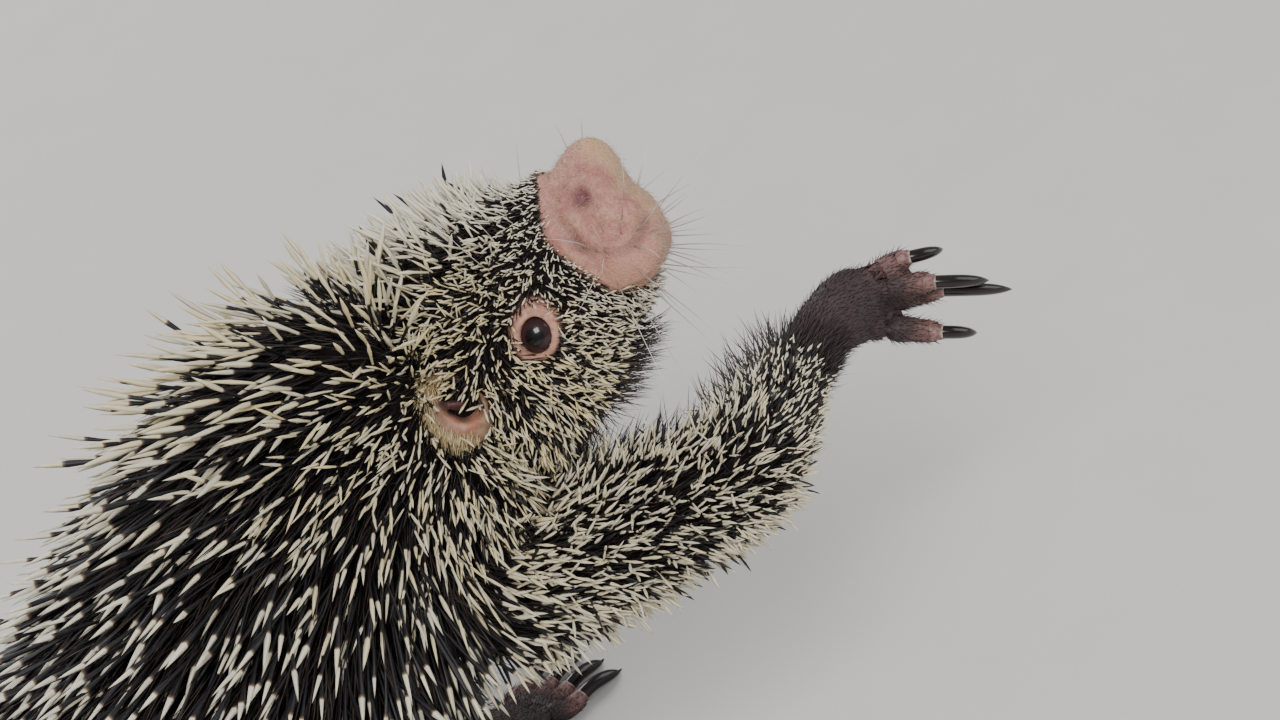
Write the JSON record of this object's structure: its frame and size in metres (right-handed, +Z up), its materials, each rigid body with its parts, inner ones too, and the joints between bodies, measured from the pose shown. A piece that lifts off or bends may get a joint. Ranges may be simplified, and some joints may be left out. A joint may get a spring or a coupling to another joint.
{
  "type": "porcupine model",
  "caption": "Life-size still model of a grasping-tailed porcupine, crouching with its front raised, head turned and right arm reaching out.",
  "frame": {"origin": "middle of the whole animal's box, on the floor it stands on", "axes": "+X the way the body points, from rump to head; +Y the animal's left; +Z up"},
  "size_m": [0.6012, 0.2836, 0.2454],
  "materials": {
    "body_quills": "black-brown quills with cream-white tips over dark fur",
    "crown_quills": "short cream quills with black bands",
    "short_fur": "short dark brown fur",
    "tail_skin": "rough scaly skin with bristles",
    "bare_skin": "bare pink skin, soft and finely creased",
    "ear_skin": "thin bare pink skin",
    "eye": "dark, wet and glossy",
    "claw": "dark polished horn"
  },
  "bodies": {
    "root": {"head": "crown_quills", "muzzle": "bare_skin", "eye_right": "eye", "ear_right": "ear_skin", "eye_left": "eye", "ear_left": "ear_skin", "torso_rear": "body_quills", "torso_front": "body_quills", "neck": "body_quills", "tail_1": "tail_skin", "tail_2": "tail_skin", "tail_3": "tail_skin", "tail_4": "tail_skin", "upper_arm_right": "body_quills", "forearm_right": "short_fur", "hand_right": "short_fur", "claw_hand_right_1": "claw", "claw_hand_right_2": "claw", "claw_hand_right_3": "claw", "claw_hand_right_4": "claw", "upper_arm_left": "body_quills", "forearm_left": "short_fur", "hand_left": "short_fur", "claw_hand_left_1": "claw", "claw_hand_left_2": "claw", "claw_hand_left_3": "claw", "claw_hand_left_4": "claw", "thigh_right": "body_quills", "shank_right": "short_fur", "foot_right": "short_fur", "claw_foot_right_1": "claw", "claw_foot_right_2": "claw", "claw_foot_right_3": "claw", "claw_foot_right_4": "claw", "thigh_left": "body_quills", "shank_left": "short_fur", "foot_left": "short_fur", "claw_foot_left_1": "claw", "claw_foot_left_2": "claw", "claw_foot_left_3": "claw", "claw_foot_left_4": "claw"}
  },
  "joints": []
}
